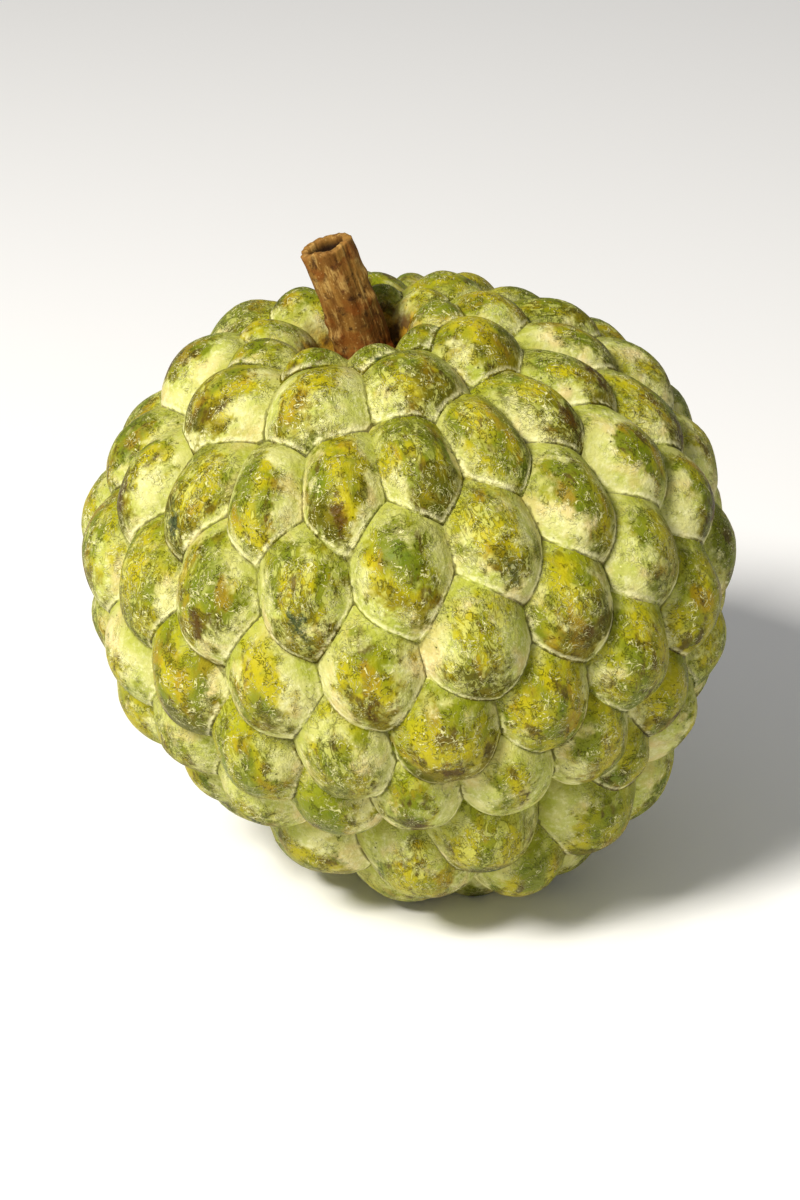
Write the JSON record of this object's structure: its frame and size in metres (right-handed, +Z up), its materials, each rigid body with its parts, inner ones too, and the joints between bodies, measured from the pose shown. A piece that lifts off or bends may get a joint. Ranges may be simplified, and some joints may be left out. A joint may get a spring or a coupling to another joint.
{
  "type": "custard apple",
  "caption": "Whole custard apple as picked, round with a spiral of bulging scale-like areoles, a stalk pit and a short hollow cut stalk; rests on pressed-flat tips.",
  "frame": {"origin": "on the surface that the fruit rests on, under the middle of its bounding box", "axes": "+Z up; the fruit's axis leans 12 degrees from +Z towards -X; -Y faces a viewer at the front"},
  "size_m": [0.0874, 0.0866, 0.0925],
  "materials": {
    "skin": "matt green skin with a pale waxy bloom, worn to olive and ochre patches",
    "bark": "dry brown bark with lengthwise fibres"
  },
  "bodies": {
    "root": {"fruit": "skin", "stalk": "bark"}
  },
  "joints": []
}
